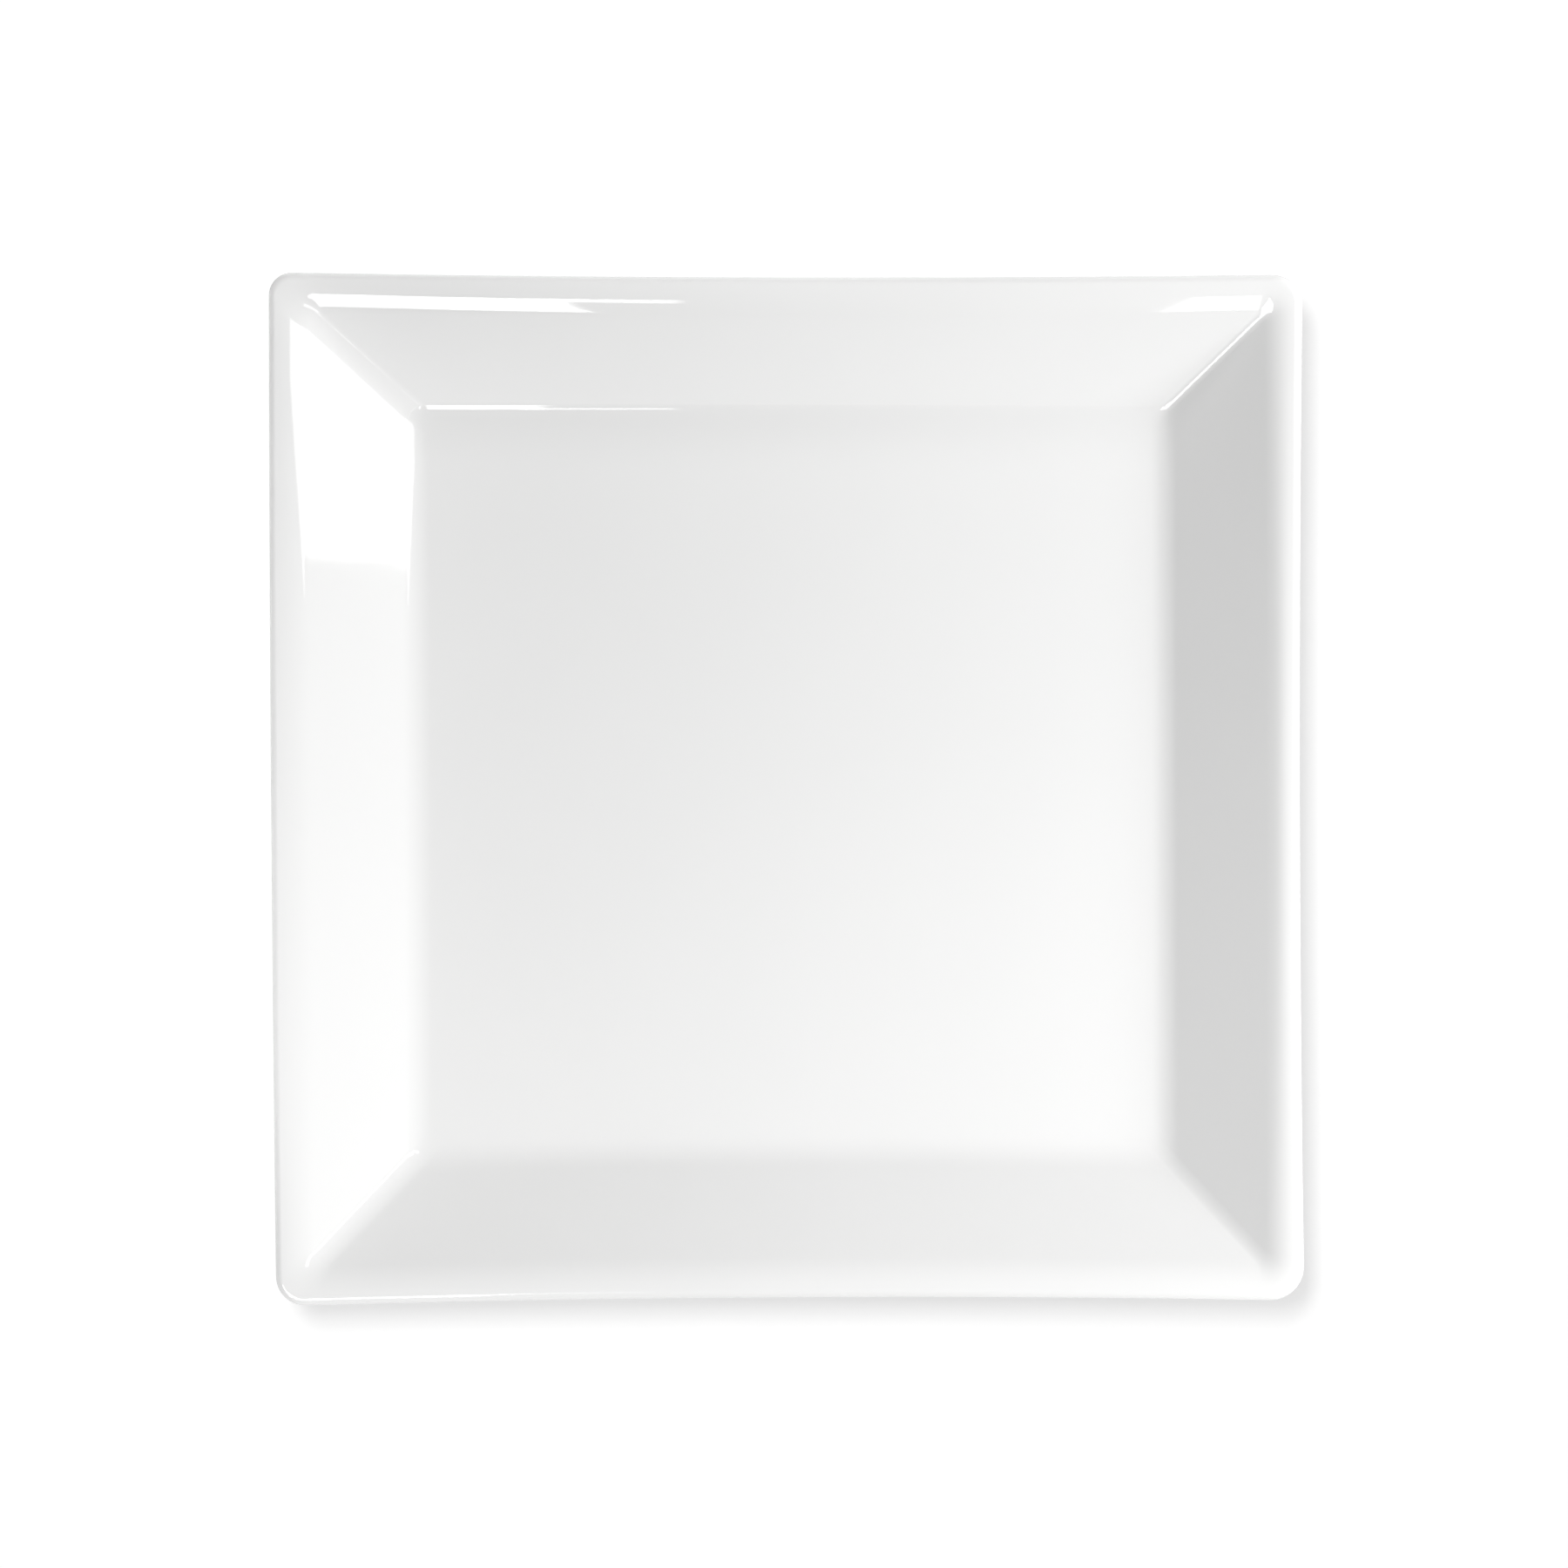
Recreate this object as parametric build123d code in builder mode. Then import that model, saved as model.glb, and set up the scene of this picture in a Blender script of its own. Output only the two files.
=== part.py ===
from build123d import *
import os
from math import asin, atan, atan2, cos, degrees, hypot, radians, sin, sqrt, tan

# A square dinner plate in glazed porcelain, in millimetres and degrees.
# The origin is on the table under the middle of the plate, and +Z is up.
# One pressed body carries two coats of glaze, which the bare foot ring keeps apart.
# All sizes are those of the finished, glazed plate.

# Outline and heights
plate_width = 267.0
lip_corner_radius = 8.0
overall_height = 24.0
foot_height = 3.0

# Walls and coat
floor_thickness = 5.0
rim_thickness = 4.8
lip_thickness = 4.2
glaze_thickness = 0.3
glaze_line_height = 1.3

# Upper face: the rim's width runs from the lip's edge to where its slope would meet the well floor.
rim_width = 35.0
well_blend_radius = 8.0
well_corner_radius = 1.0
lip_roll_radius = 16.0
lip_top_radius = 2.0
lip_top_flat = 0.4
lip_side_flat = 0.6

# Underside
under_lip_flat = 0.6
under_blend_radius = 8.0
foot_step = 1.0
foot_ring_width = 5.5
foot_inner_corner_radius = 9.0
foot_draft = 12.0
foot_root_radius = 1.2
foot_bevel = 0.6

# The rim's slope starts at the well edge and touches the circle that rolls it over to the level lip.
lip_edge = plate_width / 2
well_edge = lip_edge - rim_width
well_height = foot_height + floor_thickness
roll_edge = lip_edge - lip_top_radius - lip_top_flat
roll_across = roll_edge - well_edge
roll_up = overall_height - lip_roll_radius - well_height
rim_angle = atan2(roll_up, roll_across) + asin(lip_roll_radius / hypot(roll_across, roll_up))

# A blend of radius r between a level face and the slope takes r * half_turn of either.
half_turn = tan(rim_angle / 2)
lip_inner_edge = roll_edge - lip_roll_radius * half_turn

# Two slopes meet in a mitre, whose crease leaves the well floor the corner radius named above.
mitre_angle = atan(tan(rim_angle) / sqrt(2))
crease_radius = (well_corner_radius + well_blend_radius * half_turn) / sin(mitre_angle)

# The underside has the same slope, a rim thickness away, and turns level again under the lip.
slope_shift = rim_thickness / sin(rim_angle)
under_edge = well_edge + slope_shift - floor_thickness / tan(rim_angle)
lip_under_edge = lip_inner_edge + slope_shift - lip_thickness / tan(rim_angle)
lip_under_height = overall_height - lip_thickness
lip_bottom_radius = lip_thickness - lip_top_radius - lip_side_flat
under_lip_radius = (lip_edge - lip_bottom_radius - under_lip_flat - lip_under_edge) / half_turn
ridge_radius = crease_radius + rim_thickness

# The foot stands inside the blend where the underside turns up into the rim.
foot_edge = under_edge - under_blend_radius * half_turn - foot_step - foot_root_radius
foot_corner_radius = foot_inner_corner_radius + foot_ring_width
recess_edge = foot_edge - foot_ring_width
foot_lean = foot_height * tan(radians(foot_draft))
foot_turn = tan(radians(90 - foot_draft) / 2)

# A bevel this much of a round's radius touches that round in its middle.
bevel_share = 2 - sqrt(2)

# Faces this near to a height are taken to lie at it.
near = 0.01


def mitred_block(low, low_edge, high, high_edge, corner_radius):
    """A square block with four flat sides, whose edges lie so far from the middle at its two heights."""
    with BuildPart() as block:
        for plane, mode in ((Plane.XZ, Mode.ADD), (Plane.YZ, Mode.INTERSECT)):
            with BuildSketch(plane):
                with BuildLine():
                    side = Line((low_edge, low), (high_edge, high))
                    Polyline(side @ 0, (-low_edge, low), (-high_edge, high), side @ 1)
                make_face()
            extrude(amount=max(low_edge, high_edge), both=True, mode=mode)
        rising_edges = block.edges() - block.edges().filter_by(Axis.X) - block.edges().filter_by(Axis.Y)
        fillet(rising_edges, corner_radius)
    return block.part


def level_faces(form, height):
    """The level faces of a form at a height, the smallest first."""
    faces = form.faces().filter_by(Plane.XY)
    return faces.filter_by_position(Axis.Z, height - near, height + near).sort_by(SortBy.AREA)


def pressed_form(skin):
    """The plate as the press leaves it, drawn in from its finished surface by a skin of glaze."""
    top = overall_height - skin
    lip_under = lip_under_height + skin
    floor = well_height - skin
    base = foot_height + skin
    drawn = skin * half_turn
    foot_drawn = skin * foot_turn
    land_drawn = foot_lean + skin / cos(radians(foot_draft))

    with BuildPart() as form:
        # Underside of the rim, and the lip round its top
        add(mitred_block(base, under_edge - drawn, lip_under, lip_under_edge - drawn, ridge_radius - skin))
        add(mitred_block(lip_under, lip_edge - skin, top, lip_edge - skin, lip_corner_radius - skin))

        # Well, with the four facets of the rim round it
        add(
            mitred_block(floor, well_edge + drawn, top, lip_inner_edge + drawn, crease_radius + skin),
            mode=Mode.SUBTRACT,
        )

        # Foot ring: a low drafted block, hollowed by the recess of the base
        add(mitred_block(0, foot_edge - land_drawn, base, foot_edge - foot_drawn, foot_corner_radius - skin))
        recess_corner = foot_inner_corner_radius + skin
        add(
            mitred_block(0, recess_edge + land_drawn, base, recess_edge + foot_drawn, recess_corner),
            mode=Mode.SUBTRACT,
        )

        # The slope blends into the well floor and rolls over into the lip, and the underside follows it.
        fillet(level_faces(form, floor)[0].edges(), well_blend_radius + skin)
        fillet(level_faces(form, top)[0].inner_wires().edges(), lip_roll_radius - skin)
        fillet(level_faces(form, base)[0].outer_wire().edges(), under_blend_radius - skin)
    return form.part


os.makedirs("parts", exist_ok=True)

# Porcelain body: pressed and fired clay, its lip and its foot bevelled by hand before firing
with BuildPart() as porcelain_body:
    add(pressed_form(glaze_thickness))
    lip_top = level_faces(porcelain_body, overall_height - glaze_thickness)[0]
    chamfer(lip_top.outer_wire().edges(), bevel_share * (lip_top_radius - glaze_thickness))
    lip_bottom = level_faces(porcelain_body, lip_under_height + glaze_thickness)[0]
    chamfer(lip_bottom.outer_wire().edges(), bevel_share * (lip_bottom_radius - glaze_thickness))
    chamfer(level_faces(porcelain_body, 0)[0].edges(), foot_bevel)
porcelain_body.part.label = "porcelain_body"
export_step(porcelain_body.part, "parts/porcelain_body.step")

# Glaze rounds the lip over and pools under it and at the foot, down to the line where the foot is wiped.
with BuildPart() as glaze_coats:
    add(pressed_form(0))
    fillet(level_faces(glaze_coats, overall_height)[0].outer_wire().edges(), lip_top_radius)
    fillet(level_faces(glaze_coats, lip_under_height)[0].inner_wires().edges(), under_lip_radius)
    fillet(level_faces(glaze_coats, lip_under_height)[0].outer_wire().edges(), lip_bottom_radius)
    outer_step, recess = level_faces(glaze_coats, foot_height)
    fillet(outer_step.inner_wires().edges() + recess.edges(), foot_root_radius)
    add(porcelain_body.part, mode=Mode.SUBTRACT)
    with BuildSketch():
        Rectangle(plate_width, plate_width)
    extrude(amount=glaze_line_height, mode=Mode.SUBTRACT)
base_coat, face_coat = glaze_coats.solids().sort_by(SortBy.VOLUME)

# Face glaze: over the well, the rim and the lip, and down the underside to the foot
with BuildPart() as face_glaze:
    add(face_coat)
face_glaze.part.label = "face_glaze"
export_step(face_glaze.part, "parts/face_glaze.step")

# Base glaze: on the recessed base inside the foot ring
with BuildPart() as base_glaze:
    add(base_coat)
base_glaze.part.label = "base_glaze"
export_step(base_glaze.part, "parts/base_glaze.step")

print(f"rim slope {degrees(rim_angle):.1f} degrees, foot {2 * foot_edge:.1f} mm across")
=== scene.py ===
from math import asin, atan, atan2, cos, hypot, pi, radians, sin, sqrt, tan

import bpy
from mathutils import Matrix, Vector


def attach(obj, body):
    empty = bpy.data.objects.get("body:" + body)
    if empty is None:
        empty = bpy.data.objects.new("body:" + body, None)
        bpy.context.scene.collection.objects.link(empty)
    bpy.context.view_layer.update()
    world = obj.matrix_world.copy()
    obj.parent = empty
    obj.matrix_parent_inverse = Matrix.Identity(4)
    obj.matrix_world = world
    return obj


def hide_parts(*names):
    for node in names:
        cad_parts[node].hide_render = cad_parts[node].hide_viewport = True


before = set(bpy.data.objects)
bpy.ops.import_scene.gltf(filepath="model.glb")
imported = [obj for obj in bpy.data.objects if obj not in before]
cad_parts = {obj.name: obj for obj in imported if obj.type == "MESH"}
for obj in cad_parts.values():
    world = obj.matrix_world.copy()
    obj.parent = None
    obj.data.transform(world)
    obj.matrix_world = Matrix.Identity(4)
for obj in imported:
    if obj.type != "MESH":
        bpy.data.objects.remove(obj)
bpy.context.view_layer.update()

# A square porcelain dinner plate. Its lengths are in millimetres, and its finished points in metres.
MM = 0.001
QUARTER = pi / 2

# The sizes of the CAD model
plate_width = 267.0
lip_corner_radius = 8.0
overall_height = 24.0
foot_height = 3.0
floor_thickness = 5.0
rim_thickness = 4.8
lip_thickness = 4.2
glaze_thickness = 0.3
glaze_line_height = 1.3
rim_width = 35.0
well_blend_radius = 8.0
well_corner_radius = 1.0
lip_roll_radius = 16.0
lip_top_radius = 2.0
lip_top_flat = 0.4
lip_side_flat = 0.6
under_lip_flat = 0.6
under_blend_radius = 8.0
foot_step = 1.0
foot_ring_width = 5.5
foot_inner_corner_radius = 9.0
foot_draft = radians(12.0)
foot_root_radius = 1.2

# The turn from the well to the rim, which starts a little inside the designed one.
# Along the back it is long on the floor and short on the slope. On the other sides it is a plain round.
# The two blend across the back's mitres.
well_run_out = 8.0
rim_run_out = 1.5
well_round = 14.0
well_draw = 0.5
back_blend = 5.0

# The rounded land of the foot, the middle of the base, and the bead in which a coat ends just inside the clay
foot_land_radius = 0.9
land_corner_step = 0.8
base_middle_corner = 1.0
glaze_bead_radius = 0.2
glaze_overlap = 0.1

# How the kiln has drawn this plate out of true, at the most. The sides are at the left and the right, and the
# ends at the front and the back. Each change is over one half width, to the right or to the back.
skew_across = 0.4
skew_along = 1.15
skew_along_change = 0.15
side_bow = 0.68
side_bow_change = 0.28
end_bow = 0.28
end_bow_change = 1.35
well_shift_across = 2.5
well_shift_along = 2.6
right_roll_out = 1.2
back_roll_in = 1.4
firing_scale = 0.992

# In half widths: where the lip's roll starts to shift, where that ends and where the lip's corners set in
right_roll_start = (0.80, 0.92)
back_roll_start = (0.74, 0.92)
roll_end = (0.93, 0.985)
outline_start = (0.92, 0.985)

# Each corner: which way it lies, and its outline and its crease as shares of the designed radius
corners = (
    (1, 1, 1.0, 0.55),
    (-1, 1, 0.78, 1.25),
    (-1, -1, 1.0, 1.3),
    (1, -1, 1.18, 0.8),
)
# How far inside the well's edge the crease shares set in
crease_share_reach = 20.0
# The most of a small ring's half width that its corners may take
roundest_corner = 0.95

# How finely the shapes are drawn
CORNER_STEPS = 14
SIDE_STEPS = 20
TURN_STEPS = 40
TURN_CROWDING = 1.5
SLOPE_STEPS = 8
SLOPE_STEP = 0.3
ROLL_STEPS = 22
TOP_NOSE_STEPS = 14
BOTTOM_NOSE_STEPS = 12
UNDER_STEPS = 8
FOOT_STEPS = 10
BEAD_STEPS = 5
FLOOR_SHARES = (0.02, 0.2, 0.4, 0.6, 0.8, 0.92, 0.98)
BASE_SHARES = (0.9, 0.7, 0.4, 0.02)

lip_edge = plate_width / 2
well_edge = lip_edge - rim_width
well_foot = well_edge - well_draw
well_height = foot_height + floor_thickness
roll_edge = lip_edge - lip_top_radius - lip_top_flat
roll_up = overall_height - lip_roll_radius - well_height


def slope_angle(foot):
    """The angle of a slope that rises from its foot in the well and touches the lip's roll."""
    run = roll_edge - foot
    return atan2(roll_up, run) + asin(lip_roll_radius / hypot(run, roll_up))


rim_angle = slope_angle(well_edge)
half_turn = tan(rim_angle / 2)
face_angle = slope_angle(well_foot)
face_half_turn = tan(face_angle / 2)
lip_inner_edge = roll_edge - lip_roll_radius * half_turn
mitre_angle = atan(tan(rim_angle) / sqrt(2))
crease_radius = (well_corner_radius + well_blend_radius * half_turn) / sin(mitre_angle)
slope_shift = rim_thickness / sin(rim_angle)
under_edge = well_edge + slope_shift - floor_thickness / tan(rim_angle)
lip_under_edge = lip_inner_edge + slope_shift - lip_thickness / tan(rim_angle)
lip_under_height = overall_height - lip_thickness
lip_bottom_radius = lip_thickness - lip_top_radius - lip_side_flat
under_lip_radius = (lip_edge - lip_bottom_radius - under_lip_flat - lip_under_edge) / half_turn
foot_edge = under_edge - under_blend_radius * half_turn - foot_step - foot_root_radius
foot_corner_radius = foot_inner_corner_radius + foot_ring_width
recess_edge = foot_edge - foot_ring_width

# In plan, the round of a mitre crease is this share of its true radius, and less still on the floor.
crease_plan_share = 0.45
crease_floor_share = 0.8
crease_corner = crease_plan_share * crease_radius
ridge_corner = crease_plan_share * (crease_radius + rim_thickness)
floor_corner = crease_floor_share * crease_corner


def arc(edge, height, radius, start, end, steps):
    """Points of the plate's section along a circle, between two angles in radians."""
    turns = [start + (end - start) * step / steps for step in range(steps + 1)]
    return [(edge + radius * cos(turn), height + radius * sin(turn)) for turn in turns]


def rings(points, corner_from, corner_to, fills=None):
    """A section's points, each with the corner radius and the fill of the square ring that it draws."""
    last = len(points) - 1
    corner_radii = [corner_from + (corner_to - corner_from) * n / last for n in range(len(points))]
    return [
        (edge, height, corner, fill)
        for (edge, height), corner, fill in zip(points, corner_radii, fills or [0.0] * len(points))
    ]


def eased(low, high, value):
    """0 below low and 1 above high, with a smooth rise between."""
    share = min(max((value - low) / (high - low), 0.0), 1.0)
    return share * share * (3 - 2 * share)


def on_roll(start, value):
    """1 on the lip's roll and 0 inside and outside it."""
    return eased(*start, value) - eased(*roll_end, value)


def drawn(x, y):
    """Where the kiln has drawn a point of the plan to.

    The corners skew, the sides bow and the well lies off centre.
    The lip rolls over sooner at the back and later at the right.
    """
    u = x / lip_edge
    v = y / lip_edge
    inside_u = 1 - u * u
    inside_v = 1 - v * v
    inside = inside_u * inside_v
    across = x - skew_across * u * v - (side_bow + side_bow_change * u) * inside_v
    across += well_shift_across * inside + right_roll_out * inside_v * on_roll(right_roll_start, u)
    along = y - (skew_along - skew_along_change * v) * u * v + (end_bow - end_bow_change * v) * inside_u
    along += well_shift_along * inside - back_roll_in * inside_u * on_roll(back_roll_start, v)
    return across * firing_scale, along * firing_scale


def square_ring(edge, height, corner, fill):
    """The points of one rounded square ring, from the right back corner round to the left.

    The fill lifts all of it but the back.
    """
    at_lip = eased(*outline_start, edge / lip_edge)
    at_crease = eased(well_edge - crease_share_reach, well_edge - well_run_out, edge)
    centres = []
    for way_across, way_along, outline, crease in corners:
        share = 1 + at_crease * (crease + (outline - crease) * at_lip - 1)
        radius = min(corner * share, roundest_corner * edge)
        centres.append((way_across * (edge - radius), way_along * (edge - radius), radius))
    plan = []
    for place, (across, along, radius) in enumerate(centres):
        for step in range(CORNER_STEPS + 1):
            turn = (place + step / CORNER_STEPS) * QUARTER
            plan.append((across + radius * cos(turn), along + radius * sin(turn)))
        next_across, next_along, next_radius = centres[(place + 1) % len(centres)]
        turn = (place + 1) * QUARTER
        ahead = (next_across + next_radius * cos(turn), next_along + next_radius * sin(turn))
        here = plan[-1]
        for step in range(1, SIDE_STEPS):
            share = step / SIDE_STEPS
            plan.append((here[0] + (ahead[0] - here[0]) * share, here[1] + (ahead[1] - here[1]) * share))
    points = []
    for x, y in plan:
        lift = fill * (1 - eased(-back_blend, back_blend, y - abs(x)))
        across, along = drawn(x, y)
        points.append((across * MM, along * MM, (height + lift) * MM))
    return points


def formed(name, section, finish, capped_start, capped_end):
    """A piece of the plate, formed by drawing each point of its section round the square."""
    points = [point for ring in section for point in square_ring(*ring)]
    count = len(points) // len(section)
    faces = []
    for low in range(0, len(points) - count, count):
        high = low + count
        for place in range(count):
            beside = (place + 1) % count
            faces.append((high + place, high + beside, low + beside, low + place))
    if capped_start:
        faces.append(tuple(range(count)))
    if capped_end:
        faces.append(tuple(reversed(range(len(points) - count, len(points)))))
    mesh = bpy.data.meshes.new(name)
    mesh.from_pydata(points, [], faces)
    mesh.validate()
    mesh.shade_smooth()
    mesh.materials.append(finish)
    piece = bpy.data.objects.new(name, mesh)
    bpy.context.scene.collection.objects.link(piece)
    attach(piece, "root")
    return piece


def plain_turn(edge):
    """How high a plain round turn is, so far out from where the floor and the slope would meet."""
    reach = well_round * face_half_turn
    if edge < -reach:
        return 0.0
    if edge > reach * cos(face_angle):
        return edge * tan(face_angle)
    return well_round - sqrt(well_round ** 2 - (edge + reach) ** 2)


def well_turn(skin):
    """The back's turn from the floor up into the rim, and how far the plain round is above each point."""
    slope_run = rim_run_out * cos(face_angle)
    slope_rise = rim_run_out * sin(face_angle)
    turn = []
    for step in range(TURN_STEPS + 1):
        share = 1 - (1 - step / TURN_STEPS) ** TURN_CROWDING
        edge = slope_run * share ** 2 - well_run_out * (1 - share) ** 2
        tilt = atan2(slope_rise * share, well_run_out * (1 - share) + slope_run * share)
        turn.append((edge, slope_rise * share ** 2, tilt))
    for step in range(1, SLOPE_STEPS + 1):
        edge = slope_run + SLOPE_STEP * step
        turn.append((edge, edge * tan(face_angle), face_angle))
    points = [
        (well_foot + edge + skin * sin(tilt), well_height + rise - skin * cos(tilt))
        for edge, rise, tilt in turn
    ]
    return points, [plain_turn(edge) - rise for edge, rise, tilt in turn]


def upper_section(skin):
    """From the middle of the well, up the rim and over the lip to its side."""
    level = well_height - skin
    floor = [((well_foot - well_run_out) * share, level) for share in FLOOR_SHARES]
    blend, fills = well_turn(skin)
    roll = arc(
        roll_edge,
        overall_height - lip_roll_radius,
        lip_roll_radius - skin,
        QUARTER + face_angle,
        QUARTER,
        ROLL_STEPS,
    )
    nose = arc(
        lip_edge - lip_top_radius,
        overall_height - lip_top_radius,
        lip_top_radius - skin,
        QUARTER,
        0,
        TOP_NOSE_STEPS,
    )
    return (
        rings(floor, well_corner_radius, floor_corner)
        + rings(blend, floor_corner, crease_corner, fills)
        + rings(roll, crease_corner, crease_corner + lip_roll_radius * face_half_turn)
        + rings(nose, lip_corner_radius - lip_top_radius, lip_corner_radius)
    )


def under_section(skin):
    """From the lip's side, under it and down the back of the rim to the level step beside the foot."""
    nose = arc(
        lip_edge - lip_bottom_radius,
        lip_under_height + lip_bottom_radius,
        lip_bottom_radius - skin,
        0,
        -QUARTER,
        BOTTOM_NOSE_STEPS,
    )
    hollow = arc(
        lip_under_edge + under_lip_radius * half_turn,
        lip_under_height - under_lip_radius,
        under_lip_radius + skin,
        QUARTER,
        QUARTER + rim_angle,
        UNDER_STEPS,
    )
    blend = arc(
        under_edge - under_blend_radius * half_turn,
        foot_height + under_blend_radius,
        under_blend_radius - skin,
        rim_angle - QUARTER,
        -QUARTER,
        UNDER_STEPS,
    )
    return (
        rings(nose, lip_corner_radius, lip_corner_radius - lip_bottom_radius)
        + rings(hollow, ridge_corner + under_lip_radius * half_turn, ridge_corner)
        + rings(blend, ridge_corner, ridge_corner - under_blend_radius * half_turn)
    )


def foot_side(height, inset):
    """How far out the foot's outer side is at a height, or a circle's middle that lies so far inside it."""
    return foot_edge + ((height - foot_height) * sin(foot_draft) - inset) / cos(foot_draft)


def recess_side(height, inset):
    """The same for the side of the recess inside the foot."""
    return recess_edge - ((height - foot_height) * sin(foot_draft) - inset) / cos(foot_draft)


def outer_root(skin):
    """The soft root of the foot's outer side."""
    middle = foot_height - foot_root_radius
    edge = foot_side(middle, -foot_root_radius)
    turned = arc(edge, middle, foot_root_radius + skin, QUARTER, pi - foot_draft, FOOT_STEPS)
    return rings(turned, foot_corner_radius + foot_root_radius, foot_corner_radius)


def inner_root(skin):
    """The soft root of the recess, and its level base as far as the middle."""
    middle = foot_height - foot_root_radius
    edge = recess_side(middle, -foot_root_radius)
    turned = arc(edge, middle, foot_root_radius + skin, foot_draft, QUARTER, FOOT_STEPS)
    base = [(recess_edge * share, foot_height + skin) for share in BASE_SHARES]
    base_corner = foot_inner_corner_radius - foot_root_radius
    return (
        rings(turned, foot_inner_corner_radius, base_corner)
        + rings(base, base_corner, base_middle_corner)
    )


def foot_land():
    """The bare foot, from its outer side under its rounded land to its inner side."""
    radius = foot_land_radius
    inset = foot_land_radius + glaze_thickness
    outer = arc(foot_side(radius, inset), radius, radius, -foot_draft, -QUARTER, FOOT_STEPS)
    inner = arc(recess_side(radius, inset), radius, radius, -QUARTER, foot_draft - pi, FOOT_STEPS)
    return (
        rings(outer, foot_corner_radius, foot_corner_radius - land_corner_step)
        + rings(inner, foot_inner_corner_radius + land_corner_step, foot_inner_corner_radius)
    )


def outer_glaze_edge():
    """Where the coat ends on the foot's outer side, in a small bead."""
    middle = glaze_line_height + glaze_bead_radius
    edge = foot_side(middle, glaze_bead_radius)
    bead = arc(edge, middle, glaze_bead_radius, -foot_draft, -QUARTER, BEAD_STEPS)
    hidden = (foot_side(glaze_line_height, glaze_thickness + glaze_overlap), glaze_line_height)
    return rings(bead + [hidden], foot_corner_radius, foot_corner_radius)


def inner_glaze_edge():
    """Where the coat of the base ends on the inner side of the foot."""
    middle = glaze_line_height + glaze_bead_radius
    edge = recess_side(middle, glaze_bead_radius)
    bead = arc(edge, middle, glaze_bead_radius, -QUARTER, foot_draft - pi, BEAD_STEPS)
    hidden = (recess_side(glaze_line_height, glaze_thickness + glaze_overlap), glaze_line_height)
    return rings([hidden] + bead, foot_inner_corner_radius, foot_inner_corner_radius)


class Level:
    """A number that varies over a surface. Sums with it become Math nodes of its finish."""

    def __init__(self, finish, socket):
        self.finish = finish
        self.socket = socket

    def worked(self, operation, first, second):
        made = self.finish.node("ShaderNodeMath", {"operation": operation}, {0: first, 1: second})
        return Level(self.finish, made.outputs[0])

    def __add__(self, other):
        return self.worked("ADD", self, other)

    def __radd__(self, other):
        return self.worked("ADD", other, self)

    def __mul__(self, other):
        return self.worked("MULTIPLY", self, other)

    def __rmul__(self, other):
        return self.worked("MULTIPLY", other, self)


class Finish:
    """A material or world and the nodes that make it."""

    def __init__(self, block):
        block.use_nodes = True
        self.block = block
        self.tree = block.node_tree
        self.tree.nodes.clear()

    def node(self, kind, settings, sockets):
        made = self.tree.nodes.new(kind)
        for name, value in settings.items():
            setattr(made, name, value)
        for name, value in sockets.items():
            if isinstance(value, Level):
                value = value.socket
            if isinstance(value, bpy.types.NodeSocket):
                self.tree.links.new(value, made.inputs[name])
            else:
                made.inputs[name].default_value = value
        return made

    def place(self):
        return self.node("ShaderNodeTexCoord", {}, {}).outputs["Object"]

    def noise(self, place, scale, detail):
        made = self.node(
            "ShaderNodeTexNoise", {}, {"Vector": place, "Scale": scale, "Detail": detail, "Roughness": 0.5}
        )
        return Level(self, made.outputs["Fac"])

    def mixed(self, share, first, second):
        made = self.node("ShaderNodeMix", {"data_type": "RGBA"}, {0: share, 6: first, 7: second})
        return made.outputs[2]

    def relief(self, height):
        """The normal of a relief, from its height in metres."""
        made = self.node("ShaderNodeBump", {}, {"Strength": 1.0, "Distance": 1.0, "Height": height})
        return made.outputs[0]

    def seen(self):
        """1 for what the camera sees, straight, in a reflection or through something clear."""
        path = self.node("ShaderNodeLightPath", {}, {})
        rays = ("Is Camera Ray", "Is Glossy Ray", "Is Transmission Ray")
        camera, glossy, through = (Level(self, path.outputs[ray]) for ray in rays)
        return camera + glossy + through

    def covered(self, shader):
        """The finished material, with its shader on its surface."""
        self.node("ShaderNodeOutputMaterial", {}, {"Surface": shader})
        return self.block


def white_glaze():
    """Clear glossy glaze over white clay: it waves gently, has a fine peel and clouds where it is thick."""
    finish = Finish(bpy.data.materials.new("white_glaze"))
    place = finish.place()
    sway = finish.noise(place, scale=9.0, detail=1.0)
    cloud = finish.noise(place, scale=38.0, detail=2.0)
    peel = finish.noise(place, scale=420.0, detail=1.0)
    thick_white = (0.84, 0.841, 0.838, 1)
    thin_white = (0.872, 0.872, 0.868, 1)
    sway_height = 0.00012
    cloud_height = 0.00001
    peel_height = 0.0000002
    shader = finish.node(
        "ShaderNodeBsdfPrincipled",
        {},
        {
            "Base Color": finish.mixed(0.6 * sway + 0.4 * cloud, thick_white, thin_white),
            "Roughness": 0.02 + 0.015 * cloud,
            "IOR": 1.5,
            "Normal": finish.relief(sway_height * sway + cloud_height * cloud + peel_height * peel),
        },
    )
    return finish.covered(shader.outputs[0])


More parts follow.
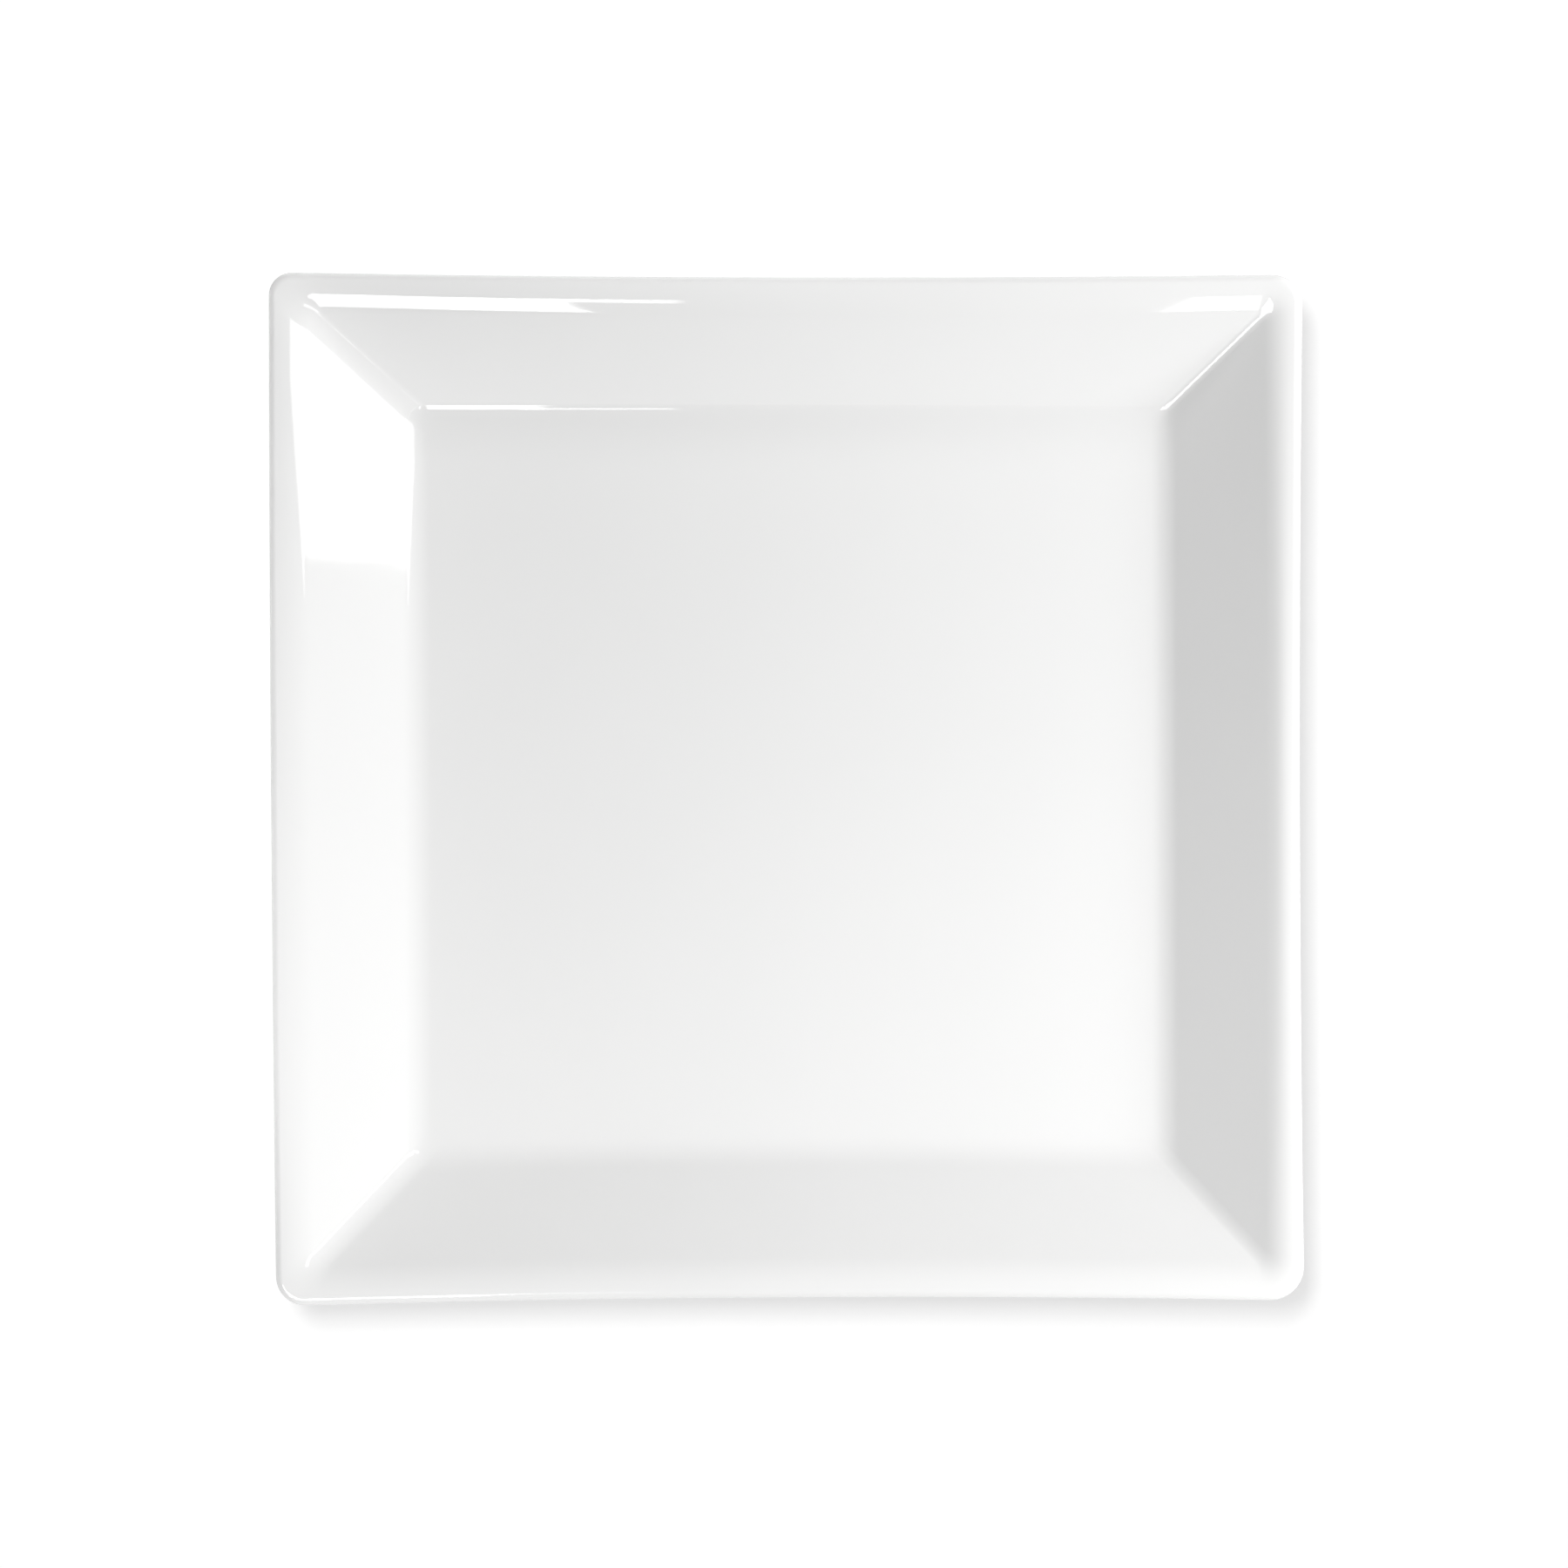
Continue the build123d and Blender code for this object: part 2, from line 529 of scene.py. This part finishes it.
def bare_porcelain():
    """Fired clay without glaze: matt, a little warm, with a fine grain and grey rubs from the shelf."""
    finish = Finish(bpy.data.materials.new("bare_porcelain"))
    place = finish.place()
    grain = finish.noise(place, scale=2600.0, detail=3.0)
    rub = finish.noise(place, scale=60.0, detail=3.0)
    dark_clay = (0.70, 0.685, 0.65, 1)
    light_clay = (0.80, 0.785, 0.75, 1)
    rubbed_grey = (0.60, 0.59, 0.57, 1)
    grain_height = 0.00003
    shader = finish.node(
        "ShaderNodeBsdfPrincipled",
        {},
        {
            "Base Color": finish.mixed(0.35 * rub, finish.mixed(grain, dark_clay, light_clay), rubbed_grey),
            "Roughness": 0.62 + 0.2 * grain,
            "Normal": finish.relief(grain_height * grain),
        },
    )
    return finish.covered(shader.outputs[0])


glaze = white_glaze()
clay = bare_porcelain()

body = formed(
    "plate_body",
    upper_section(glaze_thickness)
    + under_section(glaze_thickness)
    + outer_root(glaze_thickness)
    + foot_land()
    + inner_root(glaze_thickness),
    clay,
    capped_start=True,
    capped_end=True,
)
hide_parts("porcelain_body")

face = formed(
    "plate_face_glaze",
    upper_section(0) + under_section(0) + outer_root(0) + outer_glaze_edge(),
    glaze,
    capped_start=True,
    capped_end=False,
)
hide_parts("face_glaze")

base = formed(
    "plate_base_glaze",
    inner_glaze_edge() + inner_root(0),
    glaze,
    capped_start=False,
    capped_end=True,
)
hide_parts("base_glaze")

# The studio from here on is in metres.
WHITE = (1, 1, 1, 1)
floor_reach = 4.0
floor_glow = 0.565
room_fill = 0.26


def studio_floor():
    """A pale sheet that the camera sees as white, with the plate's shadow on it."""
    finish = Finish(bpy.data.materials.new("studio_floor"))
    grain = finish.noise(finish.place(), scale=30.0, detail=2.0)
    darker_sheet = (0.79, 0.79, 0.79, 1)
    lighter_sheet = (0.81, 0.81, 0.81, 1)
    pale = finish.mixed(grain, darker_sheet, lighter_sheet)
    sheet = finish.node("ShaderNodeBsdfDiffuse", {}, {"Color": pale}).outputs[0]
    glow = finish.node("ShaderNodeEmission", {}, {"Color": WHITE, "Strength": floor_glow}).outputs[0]
    lit = finish.node("ShaderNodeAddShader", {}, {0: sheet, 1: glow}).outputs[0]
    shown = finish.node("ShaderNodeMixShader", {}, {0: finish.seen(), 1: sheet, 2: lit}).outputs[0]
    return finish.covered(shown)


near, far = -floor_reach, floor_reach
floor_mesh = bpy.data.meshes.new("studio_floor")
floor_mesh.from_pydata([(near, near, 0), (far, near, 0), (far, far, 0), (near, far, 0)], [], [(0, 1, 2, 3)])
floor_mesh.materials.append(studio_floor())
floor = bpy.data.objects.new("studio_floor", floor_mesh)
bpy.context.scene.collection.objects.link(floor)

on_plate = bpy.data.collections.new("lit_plate")
for piece in (body, face, base):
    on_plate.objects.link(piece)
on_floor = bpy.data.collections.new("lit_floor")
on_floor.objects.link(floor)


def softbox(name, place, aim, turn, size, radiance, lit, unseen_by):
    """A flat lamp, equally bright whatever its size, turned about its own axis by some degrees."""
    lamp = bpy.data.lights.new(name, "AREA")
    lamp.shape = "RECTANGLE"
    lamp.size, lamp.size_y = size
    lamp.energy = radiance * pi * size[0] * size[1]
    facing = (Vector(aim) - Vector(place)).normalized()
    level = facing.cross(Vector((0, 0, 1))).normalized()
    rising = level.cross(facing)
    across = level * cos(radians(turn)) + rising * sin(radians(turn))
    along = across.cross(facing)
    made = bpy.data.objects.new(name, lamp)
    made.location = place
    made.rotation_mode = "QUATERNION"
    made.rotation_quaternion = Matrix((across, along, -facing)).transposed().to_quaternion()
    made.visible_camera = False
    for ray in unseen_by:
        setattr(made, "visible_" + ray, False)
    bpy.context.scene.collection.objects.link(made)
    made.light_linking.receiver_collection = lit


# Softboxes that show only as reflections: one at the right and one in front, each with a flap, and a strip
for name, place, aim, turn, size, radiance in (
    ("side_softbox", (1.73, 0.0725, 1.61), (-0.115, 0.0725, 0.02), 0, (0.195, 1.11), 4.0),
    ("side_flap", (1.03, 0.118, 2.21), (-0.125, 0.118, 0.02), -8, (0.20, 1.08), 4.0),
    ("front_softbox", (-0.9975, -1.397, 2.609), (-0.9975, 0.126, 0.024), 0, (1.285, 1.22), 9.0),
    ("front_flap", (-0.3225, -0.949, 2.873), (-0.3225, 0.574, 0.288), 0, (0.115, 0.24), 7.0),
    ("front_strip", (0.24, -1.51, 2.54), (0.24, 0.124, 0.023), 0, (0.20, 1.44), 6.0),
):
    softbox(name, place, aim, turn, size, radiance, on_plate, ("diffuse",))

# Screens that fill the plate with light and are not mirrored in it
plate_middle = (0, 0, 0.01)
screen_size = (0.36, 0.26)
for name, place, radiance in (
    ("right_screen", (0.498, -0.312, 0.281), 9.3),
    ("back_screen", (0.487, 0.433, 0.307), 8.2),
    ("front_screen", (-0.245, -0.265, 0.194), 1.45),
    ("top_screen", (0.051, -0.046, 0.224), 0.52),
):
    softbox(name, place, plate_middle, 0, screen_size, radiance, on_plate, ("glossy",))

# Low strips outside the lip. They face down and a little away from the plate, and light little but the lip.
strip_width = 0.02
for name, place, aim, length, radiance in (
    ("left_lip_strip", (-0.165, 0.03, 0.05), (-0.175, 0.03, 0.0), 0.27, 3.1),
    ("back_lip_strip", (-0.06, 0.168, 0.042), (-0.06, 0.172, 0.0), 0.18, 3.2),
    ("back_right_lip_strip", (0.09, 0.168, 0.042), (0.09, 0.172, 0.0), 0.12, 2.0),
):
    softbox(name, place, aim, 0, (length, strip_width), radiance, on_plate, ("glossy",))

# The lamp that casts the plate's shadow on the floor
softbox("shadow_lamp", (-0.35, 0.90, 3.0), (-0.35, 0.0, 0.01), 0, (0.66, 0.93), 17.6, on_floor, ())

room = Finish(bpy.data.worlds.new("studio_room"))
brightness = room_fill + (1 - room_fill) * room.seen()
air = room.node("ShaderNodeBackground", {}, {"Color": WHITE, "Strength": brightness}).outputs[0]
room.node("ShaderNodeOutputWorld", {}, {"Surface": air})
bpy.context.scene.world = room.block

# The camera looks almost straight down, a little from the right and from the back of the plate.
# The photo has so many pixels to a metre of the well floor, and about so many to a metre of the outline.
tilt_right = radians(3.3)
tilt_back = radians(4.0)
roll = radians(-0.26)
distance = 1.6
sensor_width = 36.0
picture_width = 1800
well_pixels = 4476
outline_pixels = 4440
aim_height = 0.014
aim_left_pixels = 3.8
aim_up_pixels = 5.8
back = Vector((sin(tilt_right), sin(tilt_back), sqrt(1 - sin(tilt_right) ** 2 - sin(tilt_back) ** 2)))
level_right = Vector((0, 1, 0)).cross(back).normalized()
level_up = back.cross(level_right)
right = level_right * cos(roll) + level_up * sin(roll)
up = back.cross(right)
aim_left = right * (aim_left_pixels / outline_pixels)
aim_up = up * (aim_up_pixels / outline_pixels)
view = bpy.data.cameras.new("overhead_camera")
view.sensor_fit = "HORIZONTAL"
view.sensor_width = sensor_width
view.lens = sensor_width * (distance - well_height * MM) * well_pixels / picture_width
camera = bpy.data.objects.new("overhead_camera", view)
camera.location = Vector((0, 0, aim_height)) - aim_left + aim_up + back * distance
camera.rotation_mode = "QUATERNION"
camera.rotation_quaternion = Matrix((right, up, back)).transposed().to_quaternion()
bpy.context.scene.collection.objects.link(camera)
bpy.context.scene.camera = camera

bpy.context.scene.view_settings.view_transform = "Standard"
